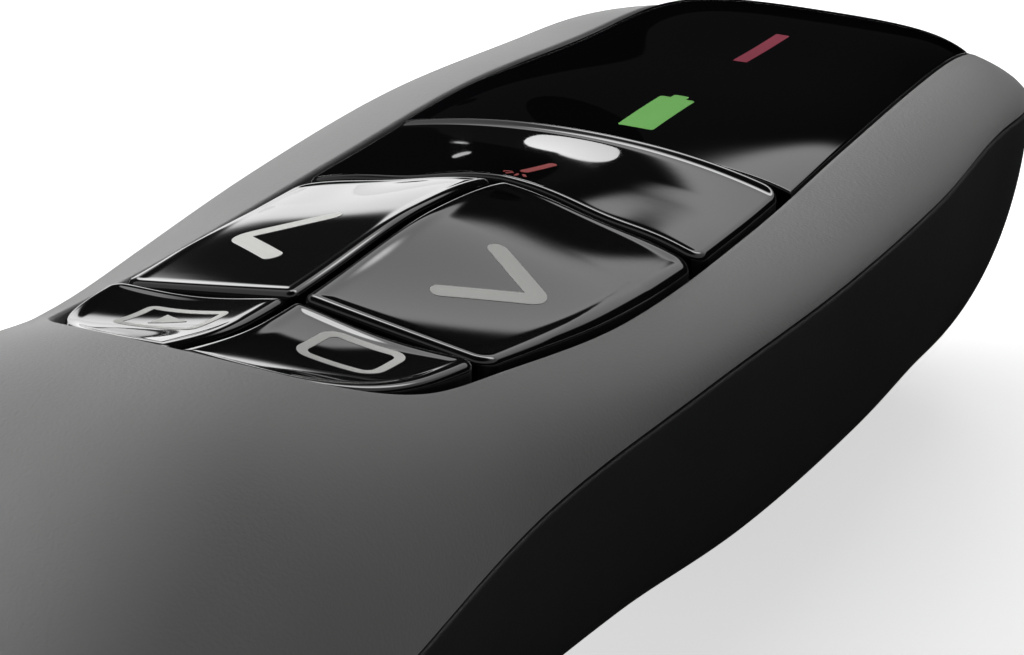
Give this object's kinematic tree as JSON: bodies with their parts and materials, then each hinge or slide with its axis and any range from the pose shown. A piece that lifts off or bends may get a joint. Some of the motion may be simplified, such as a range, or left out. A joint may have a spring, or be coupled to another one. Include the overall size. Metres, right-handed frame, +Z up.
{
  "type": "wireless presentation clicker",
  "caption": "Hand-held slide clicker with a glossy panel of pressable keys, a laser in the nose, a battery door underneath and a USB receiver stored in the tail.",
  "frame": {"origin": "on the resting plane, under the middle of the clicker's length and width", "axes": "+Y to the nose where the laser leaves, +X to the right seen from the tail, +Z up out of the key panel"},
  "size_m": [0.0378, 0.1156, 0.0274],
  "materials": {
    "soft_grey": "soft-touch matte dark grey",
    "matte_black": "fine-textured near-black",
    "gloss_black": "high-gloss black",
    "frame_black": "moulded black",
    "plunger_red": "moulded red",
    "bright_metal": "nickel-plated steel",
    "board_green": "solder mask over glass fibre",
    "chip_black": "moulded epoxy",
    "ceramic": "ceramic",
    "gold": "gold-plated copper",
    "led_green": "tinted epoxy",
    "led_red": "tinted epoxy",
    "clear": "clear acrylic",
    "cell_wrap": "printed foil sleeve, plain",
    "white_plastic": "moulded",
    "brass": "turned",
    "lens": "polished"
  },
  "bodies": {
    "case": {"upper_shell": "soft_grey", "lower_shell": "matte_black", "key_frame": "frame_black", "window": "gloss_black", "laser_switch": "bright_metal", "back_switch": "bright_metal", "next_switch": "bright_metal", "slideshow_switch": "bright_metal", "blank_switch": "bright_metal", "main_board": "board_green", "processor_chip": "chip_black", "radio_chip": "chip_black", "crystal": "bright_metal", "capacitors": "ceramic", "antenna": "gold", "battery_led": "led_green", "laser_led": "led_red", "battery_light_guide": "clear", "laser_light_guide": "clear", "board_screws": "bright_metal", "battery_tray": "frame_black", "cell_left": "cell_wrap", "cell_right": "cell_wrap", "front_contact": "bright_metal", "rear_left_contact": "bright_metal", "rear_right_contact": "bright_metal", "front_spring": "bright_metal", "rear_spring": "bright_metal", "receiver_dock": "frame_black", "laser_barrel": "brass", "laser_lens": "lens", "laser_bezel": "gloss_black", "laser_board": "board_green", "power_switch": "bright_metal", "housing_screws": "bright_metal"},
    "laser_key_body": {"laser_key": "gloss_black", "laser_plunger": "plunger_red"},
    "back_key_body": {"back_key": "gloss_black", "back_plunger": "plunger_red"},
    "next_key_body": {"next_key": "gloss_black", "next_plunger": "plunger_red"},
    "slideshow_key_body": {"slideshow_key": "gloss_black", "slideshow_plunger": "plunger_red"},
    "blank_key_body": {"blank_key": "gloss_black", "blank_plunger": "plunger_red"},
    "door": {"battery_door": "matte_black"},
    "receiver": {"receiver_housing": "frame_black", "receiver_plug": "bright_metal", "receiver_tongue": "white_plastic"},
    "knob": {"power_knob": "gloss_black"}
  },
  "joints": [
    {"name": "laser_key_press", "type": "slide", "parent": "case", "child": "laser_key_body", "axis": [0, 0, -1], "range_m": [0, 0.0005], "stiffness_N_per_m": 1500, "springref_m": -0.0002},
    {"name": "back_key_press", "type": "slide", "parent": "case", "child": "back_key_body", "axis": [0, 0, -1], "range_m": [0, 0.0005], "stiffness_N_per_m": 1500, "springref_m": -0.0002},
    {"name": "next_key_press", "type": "slide", "parent": "case", "child": "next_key_body", "axis": [0, 0, -1], "range_m": [0, 0.0005], "stiffness_N_per_m": 1500, "springref_m": -0.0002},
    {"name": "slideshow_key_press", "type": "slide", "parent": "case", "child": "slideshow_key_body", "axis": [0, 0, -1], "range_m": [0, 0.0005], "stiffness_N_per_m": 1500, "springref_m": -0.0002},
    {"name": "blank_key_press", "type": "slide", "parent": "case", "child": "blank_key_body", "axis": [0, 0, -1], "range_m": [0, 0.0005], "stiffness_N_per_m": 1500, "springref_m": -0.0002},
    {"name": "door_swing", "type": "hinge", "parent": "case", "child": "door", "pos_m": [0, 0.0309, 0.00034], "axis": [1, 0, 0], "range_deg": [0, 35]},
    {"name": "receiver_pull", "type": "slide", "parent": "case", "child": "receiver", "axis": [0, -1, 0], "range_m": [0, 0.045]},
    {"name": "power_slide", "type": "slide", "parent": "case", "child": "knob", "axis": [0, 1, 0], "range_m": [0, 0.0025]}
  ]
}
